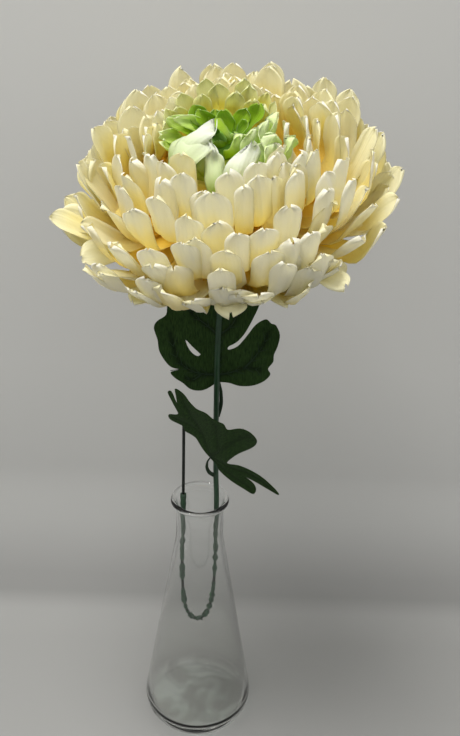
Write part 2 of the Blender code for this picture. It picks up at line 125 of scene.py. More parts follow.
bm = bmesh.new()
bmesh.ops.create_grid(bm, x_segments=1, y_segments=1, size=1)
for vert in bm.verts:
    vert.co.x *= PAPER_HALF_WIDTH
    vert.co.y = PAPER_FOLD if vert.co.y > 0 else PAPER_FRONT
back = [edge for edge in bm.edges if all(vert.co.y > 0 for vert in edge.verts)]
raised = bmesh.ops.extrude_edge_only(bm, edges=back)
raised_verts = [item for item in raised["geom"] if isinstance(item, bmesh.types.BMVert)]
bmesh.ops.translate(bm, verts=raised_verts, vec=(0, 0, PAPER_TOP))
fold = [edge for edge in bm.edges if edge.is_valid and len(edge.link_faces) == 2]
bmesh.ops.bevel(bm, geom=fold, offset=PAPER_BEND, segments=24, profile=0.5, affect="EDGES", material=-1)
bmesh.ops.translate(bm, verts=bm.verts, vec=(0, 0, -PAPER_DROP))
bmesh.ops.recalc_face_normals(bm, faces=bm.faces)
if min(bm.faces, key=lambda face: face.calc_center_median().z).normal.z < 0:
    bmesh.ops.reverse_faces(bm, faces=bm.faces)
paper, tree, shader = new_material("grey_paper", roughness=0.85, specular=0.2)
place = tree.nodes.new("ShaderNodeTexCoord")
parts = tree.nodes.new("ShaderNodeSeparateXYZ")
tree.links.new(place.outputs["Object"], parts.inputs["Vector"])
rise = share_node(tree, parts.outputs["Z"], 0, PAPER_SHADE_TOP)
# Painted shade and light: the grey ramp by height stands in for uneven light on the paper
painted_shades = tree.nodes.new("ShaderNodeValToRGB")
stops = painted_shades.color_ramp.elements
for position, grey in PAPER_PAINTED_SHADES[1:-1]:
    stops.new(position)
for stop, (position, grey) in zip(stops, PAPER_PAINTED_SHADES):
    stop.color = (grey, grey, grey * PAPER_BLUE, 1)
tree.links.new(rise, painted_shades.inputs["Fac"])
tree.links.new(painted_shades.outputs["Color"], shader.inputs["Base Color"])
# Clear to the camera alone, and only from behind
path = tree.nodes.new("ShaderNodeLightPath")
side = tree.nodes.new("ShaderNodeNewGeometry")
from_behind = tree.nodes.new("ShaderNodeMath")
from_behind.operation = "MULTIPLY"
tree.links.new(path.outputs["Is Camera Ray"], from_behind.inputs[0])
tree.links.new(side.outputs["Backfacing"], from_behind.inputs[1])
unseen = tree.nodes.new("ShaderNodeBsdfTransparent")
tree.links.new(from_behind.outputs["Value"], mix_shaders(tree, shader, unseen))
sweep = new_piece("paper_sweep", bm, paper)


# Light: one large soft box high above, a little in front and to the left, and the room
# around it, whose ceiling is paler than its walls.
BLOOM_MIDDLE = Vector((0.013, -0.008, 0.42))
KEY_DIRECTION = Vector((-0.20, -0.17, 0.965)).normalized()
KEY_DISTANCE = 1.15
KEY_SIZE = 0.50
KEY_POWER = 15.5
KEY_COLOUR = (1, 0.985, 0.96)
WALL_GREY = (0.30, 0.30, 0.296, 1)
CEILING_GREY = (1.12, 1.12, 1.10, 1)
CEILING_FROM = 0.55


def mix_node(tree, share, first, second, blend="MIX"):
    """Mixes two colours by a share; each is a plain colour or another node's output."""
    node = tree.nodes.new("ShaderNodeMix")
    node.data_type = "RGBA"
    node.blend_type = blend
    tree.links.new(share, node.inputs["Factor"])
    for socket, value in ((node.inputs[6], first), (node.inputs[7], second)):
        if isinstance(value, tuple):
            socket.default_value = value
        else:
            tree.links.new(value, socket)
    return node.outputs[2]


key_data = bpy.data.lights.new("soft_box", "AREA")
key_data.shape = "SQUARE"
key_data.size = KEY_SIZE
key_data.energy = KEY_POWER
key_data.color = KEY_COLOUR
key = bpy.data.objects.new("soft_box", key_data)
bpy.context.scene.collection.objects.link(key)
key.location = BLOOM_MIDDLE + KEY_DIRECTION * KEY_DISTANCE
key.rotation_euler = KEY_DIRECTION.to_track_quat("Z", "Y").to_euler()
world = bpy.data.worlds.new("room")
world.use_nodes = True
tree = world.node_tree
place = tree.nodes.new("ShaderNodeTexCoord")
parts = tree.nodes.new("ShaderNodeSeparateXYZ")
tree.links.new(place.outputs["Generated"], parts.inputs["Vector"])
rise = share_node(tree, parts.outputs["Z"], 0, CEILING_FROM)
greys = mix_node(tree, rise, WALL_GREY, CEILING_GREY)
tree.links.new(greys, tree.nodes["Background"].inputs["Color"])
bpy.context.scene.world = world


# Vase: a conical bottle of clear pressed glass with a straight neck, a rounded lip and a
# thick floor. Its wall is turned in one piece from the profile of inside, lip and outside.
VASE_HEIGHT = 190 * MM
VASE_BASE_RADIUS = 38.5 * MM
VASE_FOOT_RADIUS = 31 * MM
VASE_HEEL_HEIGHT = 15 * MM
VASE_SHOULDER_HEIGHT = 158 * MM
VASE_NECK_RADIUS = 15.9 * MM
VASE_NECK_TOP = 184.5 * MM
VASE_LIP_RADIUS = 19.4 * MM
VASE_LIP_HALF = 1.8 * MM
VASE_WALL = 1.7 * MM
VASE_FLOOR = 7 * MM
VASE_INNER_FOOT = 29.5 * MM
VASE_STEPS = 128
INNER_HEEL = (6.2 * MM, 8 * MM)
INNER_WALL_FROM = 30 * MM
# The pressed floor is uneven, and streaks run in it. The glass is greyer low down, partly
# where it is thick and partly painted shade for the bloom's shadow seen through it. It is
# also painted dark where the eye looks along it: painted shade for dark surroundings
# reflected at its edges.
FLOOR_RELIEF = 1.6 * MM
FLOOR_PITCH = 15 * MM
FLOOR_RINGS = 14
STREAK_DARK = (0.70, 0.70, 0.68, 1)
STREAK_PALE = (0.87, 0.89, 0.872, 1)
STREAK_EDGES = (0.46, 0.54)
STREAK_HEIGHTS = (9 * MM, 13 * MM)
GLASS_THICK_AND_SHADED = (0.785, 0.79, 0.775, 1)
GLASS_TINT = (0.965, 0.972, 0.968, 1)
THICK_AND_SHADED_HEIGHTS = (10 * MM, 150 * MM)
GLASS_EDGE_SHADE = (0.10, 0.12, 0.11, 1)
GLASS_EDGE_SHADE_POWER = 6
GLASS_SHADOW = (0.93, 0.945, 0.94, 1)


def cone_radius(height):
    share = (height - VASE_HEEL_HEIGHT) / (VASE_SHOULDER_HEIGHT - VASE_HEEL_HEIGHT)
    return VASE_BASE_RADIUS + (VASE_NECK_RADIUS - VASE_BASE_RADIUS) * share


def arc(centre, radii, start, end, steps):
    """Points of (radius, height) on an elliptical arc, angles in degrees."""
    angles = [math.radians(start + (end - start) * i / steps) for i in range(steps + 1)]
    return [(centre[0] + radii[0] * math.cos(a), centre[1] + radii[1] * math.sin(a)) for a in angles]


def eased(points, steps):
    """Points on a smooth curve through the given points, of any dimension."""
    places = [Vector(point) for point in points]
    ends = [2 * places[0] - places[1]] + places + [2 * places[-1] - places[-2]]
    route = []
    for a, b, c, d in zip(ends, ends[1:], ends[2:], ends[3:]):
        for i in range(steps):
            t = i / steps
            route.append(0.5 * (2 * b + (c - a) * t + (2 * a - 5 * b + 4 * c - d) * t ** 2
                                + (3 * b - a - 3 * c + d) * t ** 3))
    return route + [places[-1]]


def turn(bm, profile, steps):
    """Turns a profile of (radius, height) about Z into one closed skin."""
    verts = [bm.verts.new((radius, 0, height)) for radius, height in profile]
    edges = [bm.edges.new(pair) for pair in zip(verts, verts[1:])]
    bmesh.ops.spin(bm, geom=verts + edges, cent=(0, 0, 0), axis=(0, 0, 1), angle=math.tau,
                   steps=steps, use_merge=True)
    bmesh.ops.remove_doubles(bm, verts=bm.verts, dist=0.01 * MM)
    bmesh.ops.recalc_face_normals(bm, faces=bm.faces)


def shoulder(offset):
    """The bend from the cone into the neck, offset in from the outer face."""
    points = ((cone_radius(142 * MM), 142 * MM), (cone_radius(151 * MM), 151 * MM),
              (VASE_NECK_RADIUS + 0.15 * MM, 158.5 * MM), (VASE_NECK_RADIUS, 166 * MM),
              (VASE_NECK_RADIUS, 175 * MM))
    return [(place.x - offset, place.y) for place in eased(points, 4)]


def noise_node(tree, vector, scale, detail):
    node = tree.nodes.new("ShaderNodeTexNoise")
    node.inputs["Scale"].default_value = scale
    node.inputs["Detail"].default_value = detail
    tree.links.new(vector, node.inputs["Vector"])
    return node


def tones_node(tree, share, low, high, low_at=0, high_at=1):
    """A ramp from one colour to another by a share."""
    node = tree.nodes.new("ShaderNodeValToRGB")
    for stop, colour, position in zip(node.color_ramp.elements, (low, high), (low_at, high_at)):
        stop.position = position
        stop.color = colour
    tree.links.new(share, node.inputs["Fac"])
    return node.outputs["Color"]


def add_bump(tree, shader, height, strength, distance):
    node = tree.nodes.new("ShaderNodeBump")
    node.inputs["Strength"].default_value = strength
    node.inputs["Distance"].default_value = distance
    tree.links.new(height, node.inputs["Height"])
    tree.links.new(node.outputs["Normal"], shader.inputs["Normal"])


inside = [(VASE_INNER_FOOT * i / FLOOR_RINGS, VASE_FLOOR) for i in range(FLOOR_RINGS)]
inside += arc((VASE_INNER_FOOT, VASE_FLOOR + INNER_HEEL[1]), INNER_HEEL, -90, 0, 9)
inside += [(cone_radius(INNER_WALL_FROM) - VASE_WALL, INNER_WALL_FROM)] + shoulder(VASE_WALL)
inside += [(VASE_NECK_RADIUS - VASE_WALL, VASE_NECK_TOP - 2 * MM)]
lip_centre = (VASE_LIP_RADIUS - VASE_LIP_HALF, VASE_HEIGHT - VASE_LIP_HALF)
lip = arc(lip_centre, (VASE_LIP_HALF, VASE_LIP_HALF), 180, -75, 16)
outside = [(VASE_NECK_RADIUS + 0.5 * MM, VASE_NECK_TOP + 0.4 * MM),
           (VASE_NECK_RADIUS, VASE_NECK_TOP - 0.6 * MM)]
outside += shoulder(0)[::-1]
heel_radii = (VASE_BASE_RADIUS - VASE_FOOT_RADIUS, VASE_HEEL_HEIGHT)
outside += arc((VASE_FOOT_RADIUS, VASE_HEEL_HEIGHT), heel_radii, 0, -90, 14)
bm = bmesh.new()
turn(bm, inside + lip + outside + [(0, 0)], VASE_STEPS)
for vert in bm.verts:
    if abs(vert.co.z - VASE_FLOOR) < 0.01 * MM:
        share = vert.co.xy.length / VASE_INNER_FOOT
        vert.co.z += FLOOR_RELIEF * noise.noise(vert.co / FLOOR_PITCH) * (1 - share ** 4)

glass, tree, shader = new_material("clear_glass", roughness=0.0)
shader.inputs["IOR"].default_value = 1.48
shader.inputs["Transmission Weight"].default_value = 1.0
place = tree.nodes.new("ShaderNodeTexCoord").outputs["Object"]
ripple = noise_node(tree, place, 28, 1)
add_bump(tree, shader, ripple.outputs["Fac"], 0.12, 2 * MM)
parts = tree.nodes.new("ShaderNodeSeparateXYZ")
tree.links.new(place, parts.inputs["Vector"])
streaks = noise_node(tree, place, 34, 1)
streaks.inputs["Distortion"].default_value = 1.2
streak_tones = tones_node(tree, streaks.outputs["Fac"], STREAK_DARK, STREAK_PALE, *STREAK_EDGES)
above_floor = share_node(tree, parts.outputs["Z"], *STREAK_HEIGHTS)
# Painted shade: greyer low down, partly the thick glass and partly the bloom's shadow behind it
thick_and_shaded_tint = mix_node(tree, above_floor, streak_tones, GLASS_THICK_AND_SHADED)
higher_up = share_node(tree, parts.outputs["Z"], *THICK_AND_SHADED_HEIGHTS)
wall_tint = mix_node(tree, higher_up, thick_and_shaded_tint, GLASS_TINT)
# Painted shade at grazing angles: dark edges in place of dark surroundings reflected at the silhouette
facing = tree.nodes.new("ShaderNodeLayerWeight")
facing.inputs["Blend"].default_value = 0.5
grazing = tree.nodes.new("ShaderNodeMath")
grazing.operation = "POWER"
grazing.inputs[1].default_value = GLASS_EDGE_SHADE_POWER
tree.links.new(facing.outputs["Facing"], grazing.inputs[0])
tint = mix_node(tree, grazing.outputs["Value"], wall_tint, GLASS_EDGE_SHADE)
tree.links.new(tint, shader.inputs["Base Color"])
path = tree.nodes.new("ShaderNodeLightPath")
pass_light = tree.nodes.new("ShaderNodeBsdfTransparent")
pass_light.inputs["Color"].default_value = GLASS_SHADOW
tree.links.new(path.outputs["Is Shadow Ray"], mix_shaders(tree, shader, pass_light))
vase = new_piece("glass_vase", bm, glass)
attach(vase, "root")
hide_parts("vase")


# Wire: dull black annealed steel, in the coat for the whole stem and bare where it comes
# back out of the vase. It follows the same route as the coat.
HEAD_CENTRE = Vector((13.3, -8.0, 398.0)) * MM
HEAD_TILT = math.radians(17.5)
HEAD_LEAN = math.radians(5.5)
STEM_IN_HEAD = (-2.6, -15, -27, -34)
STEM_ROUTE = (
    (13.6, 5.4, 350), (10.4, 5.2, 325), (9.5, 4.7, 290), (9.6, 4.4, 240), (10.2, 4.2, 205),
    (10.9, 4.0, 187), (11.0, 3.8, 166), (11.0, 3.2, 140), (10.4, 2.6, 116), (9.0, 2.2, 100),
    (6.2, 2.0, 88.5), (2.2, 2.0, 82.4), (-2.2, 2.0, 81.2), (-6.2, 2.0, 84.6), (-9.4, 2.0, 92.5),
    (-11.4, 2.4, 109), (-12.2, 2.9, 140), (-11.4, 3.0, 168), (-11.3, 3.0, 190),
)
WIRE_END = ((-11.1, 3.0, 225), (-11.0, 3.0, 262))
WIRE_RADIUS = 1.0 * MM
WIRE_DARK = (0.008, 0.011, 0.010, 1)
WIRE_PALE = (0.040, 0.046, 0.040, 1)

head = (Matrix.Translation(HEAD_CENTRE) @ Matrix.Rotation(HEAD_TILT, 4, "X")
        @ Matrix.Rotation(-HEAD_LEAN, 4, "Y"))


def rod(bm, route, radii, sides):
    """A closed round rod along a route of points, with a radius at each."""
    right = (route[1] - route[0]).normalized().orthogonal().normalized()
    last = len(route) - 1
    rings = []
    for i, place in enumerate(route):
        ahead = (route[min(i + 1, last)] - route[max(i - 1, 0)]).normalized()
        right = (right - ahead * right.dot(ahead)).normalized()
        turned = Matrix((right, ahead.cross(right), ahead)).transposed().to_4x4()
        ring = bmesh.ops.create_circle(bm, segments=sides, radius=radii[i], cap_ends=i in (0, last),
                                       matrix=Matrix.Translation(place) @ turned)
        rings.append(ring["verts"])
    for lower, upper in zip(rings, rings[1:]):
        edges = []
        for ring in (lower, upper):
            kept = set(ring)
            edges += [edge for edge in {e for vert in ring for e in vert.link_edges}
                      if edge.verts[0] in kept and edge.verts[1] in kept]
        bmesh.ops.bridge_loops(bm, edges=edges)


stem_top = [head @ Vector((0, 0, height * MM)) for height in STEM_IN_HEAD]
stem_route = stem_top + [Vector(point) * MM for point in STEM_ROUTE]
wire_route = eased(stem_route + [Vector(point) * MM for point in WIRE_END], 3)
bm = bmesh.new()
rod(bm, wire_route, [WIRE_RADIUS] * len(wire_route), sides=12)
bmesh.ops.recalc_face_normals(bm, faces=bm.faces)
dark_wire, tree, shader = new_material("dark_wire", roughness=0.42, metallic=0.85)
place = tree.nodes.new("ShaderNodeTexCoord").outputs["Object"]
scale_marks = noise_node(tree, place, 420, 4).outputs["Fac"]
tree.links.new(tones_node(tree, scale_marks, WIRE_DARK, WIRE_PALE), shader.inputs["Base Color"])
wire = new_piece("bare_wire", bm, dark_wire)
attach(wire, "root")
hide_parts("stem_wire")


# Coat: soft green plastic drawn over the wire. It is smooth above the vase, wrinkled and
# lumpy where the wire was bent by hand, and torn off at the mouth on the left.
COAT_RADIUS = 1.75 * MM
COAT_SQUEEZE = 0.28
COAT_LUMPS = 0.55
COAT_STEPS = 8
COAT_TORN_LENGTH = 9 * MM
COAT_BENT_BELOW = 178 * MM
COAT_BENT_OVER = 30 * MM
COAT_DARK = (0.005, 0.026, 0.010, 1)
COAT_PALE = (0.017, 0.062, 0.024, 1)
COAT_DRAW = 11

coat_route = eased(stem_route, COAT_STEPS)
draw = random.Random(COAT_DRAW)
coat_radii = []
for place in coat_route:
    bent = max(0.0, min(1.0, (COAT_BENT_BELOW - place.z) / COAT_BENT_OVER))
    lump = 1 + bent * (COAT_LUMPS * draw.uniform(-0.6, 1.0) - COAT_SQUEEZE)
    torn = place.x < 0 and place.z > VASE_HEIGHT - COAT_TORN_LENGTH
    coat_radii.append(COAT_RADIUS * lump * (draw.uniform(0.9, 1.25) if torn else 1))
bm = bmesh.new()
rod(bm, coat_route, coat_radii, sides=20)
bmesh.ops.recalc_face_normals(bm, faces=bm.faces)
green_plastic, tree, shader = new_material("green_plastic", roughness=0.42)
place = tree.nodes.new("ShaderNodeTexCoord")
stretch = tree.nodes.new("ShaderNodeMapping")
stretch.inputs["Scale"].default_value = (1, 1, 0.35)
tree.links.new(place.outputs["Object"], stretch.inputs["Vector"])
wrinkles = noise_node(tree, stretch.outputs["Vector"], 520, 5).outputs["Fac"]
tones = tones_node(tree, wrinkles, COAT_DARK, COAT_PALE, 0.3, 0.75)
tree.links.new(tones, shader.inputs["Base Color"])
add_bump(tree, shader, wrinkles, 0.5, 0.4 * MM)
coat = new_piece("stem_sleeve", bm, green_plastic)
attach(coat, "root")
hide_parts("stem_coat")


# Calyx: a moulded cup of the same green plastic, pushed up the stem against the underside
# of the head. Turned from its profile, with shallow ribs down to the stem.
CALYX_TOP = -12.3 * MM
CALYX_END = -26 * MM
CALYX_BORE = 2.35 * MM
CALYX_RADIUS = 14 * MM
CALYX_RIBS = 10
CALYX_RIB_DEPTH = 0.05

calyx_outside = [(place.x, place.y) for place in eased((
    (CALYX_RADIUS, CALYX_TOP), (12.6 * MM, -15.4 * MM), (8.4 * MM, -19.2 * MM), (4.6 * MM, -22.8 * MM),
    (3.6 * MM, CALYX_END)), 4)]
bm = bmesh.new()
calyx_inside = [(CALYX_BORE, CALYX_END), (CALYX_BORE, CALYX_TOP)]
turn(bm, calyx_inside[1:] + calyx_outside + calyx_inside, CALYX_RIBS * 8)
for vert in bm.verts:
    radius = math.hypot(vert.co.x, vert.co.y)
    if radius > CALYX_BORE * 1.2:
        wave = 1 - CALYX_RIB_DEPTH * (1 - math.cos(math.atan2(vert.co.y, vert.co.x) * CALYX_RIBS))
        vert.co.x *= wave
        vert.co.y *= wave
bmesh.ops.transform(bm, matrix=head, verts=bm.verts)
calyx = new_piece("calyx_cup", bm, green_plastic)
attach(calyx, "root")
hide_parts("calyx")


# Petals: cut from thin cloth and pressed hot over a spoon-shaped mould, so each is narrow
# and dyed deeper at its root, scooped across, and rounded and ruffled at its tip.
PETAL_COLUMNS = 8
SHAFT_ROWS = 9
TIP_ROWS = 6
PETAL_CLOTH = 0.18 * MM
ROOT_SHARE = 0.6
TIP_LENGTH = 1.4
TIP_SWEEP = math.radians(84)
SPINE_START = 0.60
SPINE_END = 0.66
EDGE_RIPPLE = 1.5 * MM
PLEAT = 0.07
DENT = 1.4 * MM
BACK_DROP = 5.5 * MM
LEFT_DRAW = 8 * MM
FRILL = 2.2 * MM
SIDE_TURN = math.radians(45)
SIDE_LIFT = 0.6
SIDE_LOOSE = 2.5
WALL_GAP = 0.4 * MM
CLOTH_THROUGH = 0.5


def bezier(points, t):
    u = 1 - t
    a, b, c, d = points
    return a * u ** 3 + 3 * b * u ** 2 * t + 3 * c * u * t ** 2 + d * t ** 3


def bezier_slope(points, t):
    u = 1 - t
    a, b, c, d = points
    return ((b - a) * u ** 2 + 2 * (c - b) * u * t + (d - c) * t ** 2).normalized()


def row_place(row, widest, roundness):
    """How far along the petal a row lies, and its share of the full half width."""
    if row <= SHAFT_ROWS:
        t = row / SHAFT_ROWS
        return widest * t, ROOT_SHARE + (1 - ROOT_SHARE) * math.sin(t * math.pi / 2) ** 1.3
    sweep = TIP_SWEEP * (row - SHAFT_ROWS) / TIP_ROWS
    return widest + (1 - widest) * math.sin(sweep) / math.sin(TIP_SWEEP), math.cos(sweep) ** roundness


def spine_points(root, tip, rise_root, rise_tip):
    """Control points in the (radius, height) plane of a petal's middle line."""
    reach = (tip - root).length
    start = Vector((math.cos(rise_root), math.sin(rise_root))) * reach * SPINE_START
    end = Vector((math.cos(rise_tip), math.sin(rise_tip))) * reach * SPINE_END
    return (root, root + start, tip - end, tip)


def add_petal(bm, spine, azimuth, width, cup, draw, loose, walls=(), sway=0, ruffle=1):
    """Adds one petal, its length along the UV map's V, with a tone of its own."""
    uv = bm.loops.layers.uv.verify()
    tone_layer = bm.verts.layers.float.get("tone") or bm.verts.layers.float.new("tone")
    rows = SHAFT_ROWS + TIP_ROWS
    made = bmesh.ops.create_grid(bm, x_segments=PETAL_COLUMNS, y_segments=rows, size=1)["verts"]
    # Its own tone, lean, turn, tip, crease and crumpling
    tone = draw.uniform(0, 1)
    sway += draw.uniform(-5, 5) * MM * loose
    twist = math.radians(draw.uniform(-20, 20)) * loose
    twist += SIDE_TURN * math.cos(azimuth) * (SIDE_LIFT + math.sin(azimuth)) * min(1, SIDE_LOOSE * loose)
    roundness = draw.uniform(0.72, 1.0)
    nib = draw.choice((0, 0.2, -0.5, -0.9, -1.2)) * MM
    crease = draw.uniform(-0.16, 0.10)
    phase, dent_phase = draw.uniform(0, math.tau), draw.uniform(0, math.tau)
    dent_pitch, dent_turn = draw.uniform(5, 10), draw.uniform(1, 3)
    ripple = EDGE_RIPPLE * ruffle * draw.uniform(0.4, 1.3) * width / (16 * MM)
    length = (spine[3] - spine[0]).length
    widest = 1 - TIP_LENGTH * width / 2 / (3 * (spine[3] - spine[2]).length)
    across_way = Vector((-math.sin(azimuth), math.cos(azimuth)))
    outward = Vector((math.cos(azimuth), math.sin(azimuth)))
    # Across it u runs from -1 to 1; sideways and inward are from its middle line
    for vert in made:
        u = vert.co.x
        along, share = row_place(round((vert.co.y + 1) / 2 * rows), widest, roundness)
        for loop in vert.link_loops:
            loop[uv].uv = ((u + 1) / 2, along)
        vert[tone_layer] = tone
        half = share * width / 2 * (1 + 0.05 * math.sin(phase * (2 if u > 0 else 1) + along * 15))
        end = max(0.0, (along - widest) / (1 - widest)) ** 3
        along -= end * (half * 0.2 * u * u - nib * math.cos(math.pi / 2 * u) ** 4) / length
        centre = bezier(spine, along)
        slope = bezier_slope(spine, along)
        scoop = cup * (0.65 + 0.35 * math.sin(math.pi * min(1.0, along) ** 1.6))
        bend = scoop * u
        sideways = half * math.sin(bend) / math.sin(scoop)
        inward = half * (1 - math.cos(bend)) / math.sin(scoop)
        inward += half * crease * math.exp(-(u / 0.3) ** 2) * along
        inward += half * PLEAT * math.cos(u * 7.5 + phase) * along
        dent = DENT * ruffle ** 0.4 * math.sin(dent_phase + along * dent_pitch)
        inward += dent * math.cos(u * dent_turn + phase) * along
        inward += ripple * abs(u) ** 3 * math.sin(phase + along * 11 + (1.5 if u > 0 else 0)) * along
        inward += FRILL * (ruffle - 0.6) * end * math.sin(u * 7 + dent_phase)
        turn_by = twist * along
        sideways, inward = (sideways * math.cos(turn_by) - inward * math.sin(turn_by),
                            sideways * math.sin(turn_by) + inward * math.cos(turn_by))
        sideways += sway * along ** 2
        radius = centre.x - slope.y * inward
        height = centre.y + slope.x * inward
        flat = outward * radius + across_way * sideways
        # It keeps to its own side of each wall of air
        for (wall_radius, wall_height, flare), side in walls:
            if height > wall_height:
                limit = wall_radius + (height - wall_height) * flare + side * WALL_GAP
                if (flat.length - limit) * side < 0:
                    flat *= limit / flat.length
        vert.co = (flat.x, flat.y, height)


def ring_places(ring, draw, loose):
    """Azimuth, tip and rise of its end, width and scoop of every petal in a ring."""
    count, first, sweep, tip_r, tip_h, rise_tip, width, cup = ring
    for i in range(count):
        azimuth = math.radians(first + sweep * i / count + draw.uniform(-6, 6) * loose)
        tip = Vector((tip_r + draw.uniform(-5, 3) * loose, tip_h + draw.uniform(-5, 3) * loose)) * MM
        # At the back tips hang lower, and on the left the higher ones stand further in
        tip.y -= BACK_DROP * max(0.0, math.sin(azimuth)) * tip_r / 60
        tip.x -= LEFT_DRAW * max(0.0, -math.cos(azimuth)) ** 2 * max(0.0, min(1.0, (tip_h - 12) / 10))
        rise_end = math.radians(rise_tip + draw.uniform(-20, 18) * loose)
        yield azimuth, tip, rise_end, width * draw.uniform(0.84, 1.16) * MM, cup


def petal_piece(name, bm, *materials):
    """Tilts petals with the head and gives their cloth its thickness, inside and edge."""
    bmesh.ops.transform(bm, matrix=head, verts=bm.verts)
    piece = new_piece(name, bm, *materials)
    cloth = piece.modifiers.new("Cloth", "SOLIDIFY")
    cloth.thickness = PETAL_CLOTH
    cloth.offset = 0
    cloth.material_offset = 1
    cloth.material_offset_rim = 2
    return piece


def finish_bloom(name, bm, core, slot, node, *materials):
    """The petals as one piece, and the hub that they grow from as another."""
    bloom = petal_piece(name, bm, *materials)
    hub_bm = bmesh.new()
    turn(hub_bm, [(radius * MM, height * MM) for radius, height in core], 64)
    bmesh.ops.transform(hub_bm, matrix=head, verts=hub_bm.verts)
    hub = new_piece(name + "_hub", hub_bm, materials[3])
    for piece in (bloom, hub):
        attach(piece, "root")
        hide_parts(node)


# The cloth's colour runs along the petal, and fine pressed ribs run with it
petal_cloth = bpy.data.node_groups.new("petal_cloth", "ShaderNodeTree")
for name, kind in (("Root", "NodeSocketColor"), ("Middle", "NodeSocketColor"), ("Tip", "NodeSocketColor"),
                   ("Reach", "NodeSocketFloat")):
    petal_cloth.interface.new_socket(name, in_out="INPUT", socket_type=kind)
petal_cloth.interface.new_socket("Color", in_out="OUTPUT", socket_type="NodeSocketColor")
petal_cloth.interface.new_socket("Height", in_out="OUTPUT", socket_type="NodeSocketFloat")
nodes, links = petal_cloth.nodes, petal_cloth.links
given = nodes.new("NodeGroupInput")
result = nodes.new("NodeGroupOutput")
uv_map = nodes.new("ShaderNodeUVMap")
uv_parts = nodes.new("ShaderNodeSeparateXYZ")
links.new(uv_map.outputs["UV"], uv_parts.inputs["Vector"])
tone = nodes.new("ShaderNodeAttribute")
tone.attribute_name = "tone"
place = nodes.new("ShaderNodeTexCoord").outputs["Object"]
cloud = noise_node(petal_cloth, place, 60, 3)


def math_node(kind, first, second):
    node = nodes.new("ShaderNodeMath")
    node.operation = kind
    for socket, value in zip(node.inputs, (first, second)):
        if isinstance(value, (int, float)):
            socket.default_value = value
        else:
            links.new(value, socket)
    return node.outputs["Value"]


def ramp_node(value, low, high):
    node = nodes.new("ShaderNodeMapRange")
    node.interpolation_type = "SMOOTHSTEP"
    links.new(value, node.inputs["Value"])
    for name, edge in (("From Min", low), ("From Max", high)):
        if isinstance(edge, (int, float)):
            node.inputs[name].default_value = edge
        else:
            links.new(edge, node.inputs[name])
    return node.outputs["Result"]


wander = math_node("MULTIPLY", math_node("SUBTRACT", tone.outputs["Fac"], 0.5), 0.34)
cloudy = math_node("MULTIPLY", math_node("SUBTRACT", cloud.outputs["Fac"], 0.5), 0.3)
along = math_node("ADD", math_node("ADD", uv_parts.outputs["Y"], wander), cloudy)
low_part = mix_node(petal_cloth, ramp_node(along, 0.12, given.outputs["Reach"]),
                    given.outputs["Root"], given.outputs["Middle"])
cloth_colour = mix_node(petal_cloth, ramp_node(along, 0.56, 0.94), low_part, given.outputs["Tip"])
ribs = nodes.new("ShaderNodeTexWave")
ribs.bands_direction = "X"
ribs.inputs["Scale"].default_value = 2.6
ribs.inputs["Distortion"].default_value = 1.2
ribs.inputs["Detail"].default_value = 2
links.new(uv_map.outputs["UV"], ribs.inputs["Vector"])
weave = noise_node(petal_cloth, place, 1000, 2)
links.new(cloth_colour, result.inputs["Color"])
fine = math_node("MULTIPLY", weave.outputs["Fac"], 0.5)
relief = math_node("ADD", math_node("MULTIPLY", ribs.outputs["Fac"], 0.3), fine)
links.new(relief, result.inputs["Height"])


def petal_material(name, root, middle, tip, reach):
    """Thin cloth: it reflects most light and lets some through."""
    mat, tree, shader = new_material(name, roughness=0.8, specular=0.25)
    shader.inputs["Sheen Weight"].default_value = 0.15
    cloth = tree.nodes.new("ShaderNodeGroup")
    cloth.node_tree = petal_cloth
    cloth.inputs["Root"].default_value = (*root, 1)
    cloth.inputs["Middle"].default_value = (*middle, 1)
    cloth.inputs["Tip"].default_value = (*tip, 1)
    cloth.inputs["Reach"].default_value = reach
    tree.links.new(cloth.outputs["Color"], shader.inputs["Base Color"])
    add_bump(tree, shader, cloth.outputs["Height"], 0.6, 0.5 * MM)
    glow = tree.nodes.new("ShaderNodeBsdfTranslucent")
    tree.links.new(cloth.outputs["Color"], glow.inputs["Color"])
    mix_shaders(tree, shader, glow).default_value = CLOTH_THROUGH
    return mat


def hub_material(name, low, high):
    """The moulded disc the petals grow from, with the dye's uneven patches."""
    mat, tree, shader = new_material(name, roughness=0.7)
    place = tree.nodes.new("ShaderNodeTexCoord").outputs["Object"]
    patches = noise_node(tree, place, 180, 4).outputs["Fac"]
    tree.links.new(tones_node(tree, patches, (*low, 1), (*high, 1)), shader.inputs["Base Color"])
    return mat


# Cream bloom: rings of petals on a moulded hub, from the outspread lowest one to the
# upright ones around the middle. Those that show most are set one by one among them.
CREAM_DRAW = 7
# Count, azimuth of the first, sweep, tip radius and height, rise at the tip, width, scoop
CREAM_RINGS = (
    (13, -97, 360, 86, 0, 16, 17.5, 0.60),
    (18, -84, 360, 91, 11, 66, 16.5, 0.62),
    (20, -95, 360, 91, 21, 70, 16, 0.62),
    (19, -84, 360, 85, 31, 78, 16, 0.62),
    (16, -45, 280, 79, 42, 82, 15.5, 0.62),
    (15, -42, 276, 70, 49, 86, 16.5, 0.62),
    (15, -45, 280, 61, 54, 90, 16, 0.62),
    (14, -42, 276, 53, 57, 92, 16, 0.60),
    (12, -42, 264, 45, 59, 93, 14.5, 0.58),
    (11, -30, 240, 38, 58, 94, 14, 0.56),
)
